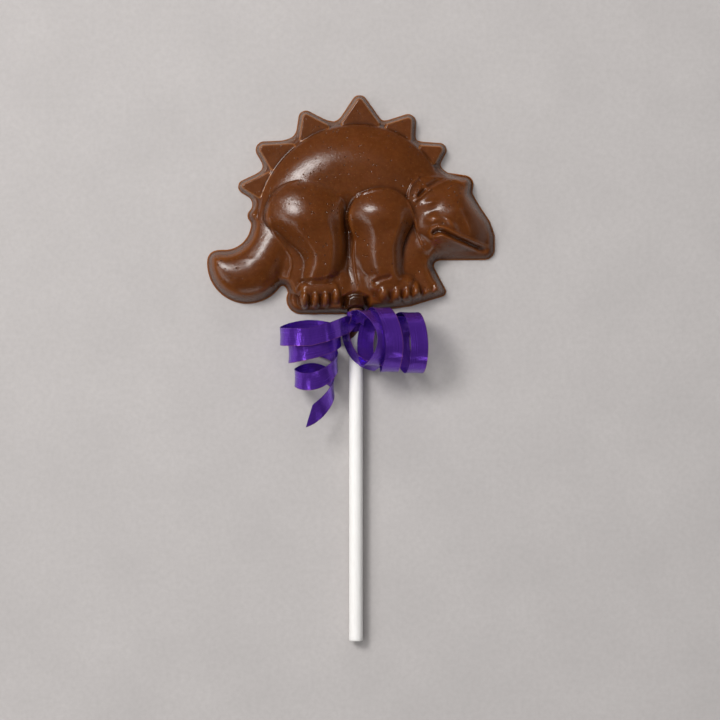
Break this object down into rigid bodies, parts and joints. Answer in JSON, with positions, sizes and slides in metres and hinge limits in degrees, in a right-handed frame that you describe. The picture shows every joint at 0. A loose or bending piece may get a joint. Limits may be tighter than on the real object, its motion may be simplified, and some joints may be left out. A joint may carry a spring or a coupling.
{
  "type": "dinosaur lollipop",
  "caption": "Moulded milk-chocolate stegosaurus with a flat back on a white paper stick, tied with a curled ribbon, lying face up.",
  "frame": {"origin": "on the flat back of the chocolate, over the axis of the stick, 10.2 mm above the stick's upper end along Y", "axes": "+Y from the stick towards the back plates, +Z out of the moulded face, so the sweet lies on its flat back"},
  "size_m": [0.0821, 0.1555, 0.0211],
  "materials": {
    "chocolate": "satin milk chocolate, smooth from the mould",
    "stick": "matt white rolled paper",
    "ribbon": "satin purple ribbed curling ribbon"
  },
  "bodies": {
    "root": {"chocolate": "chocolate", "stick": "stick", "ribbon": "ribbon"}
  },
  "joints": []
}
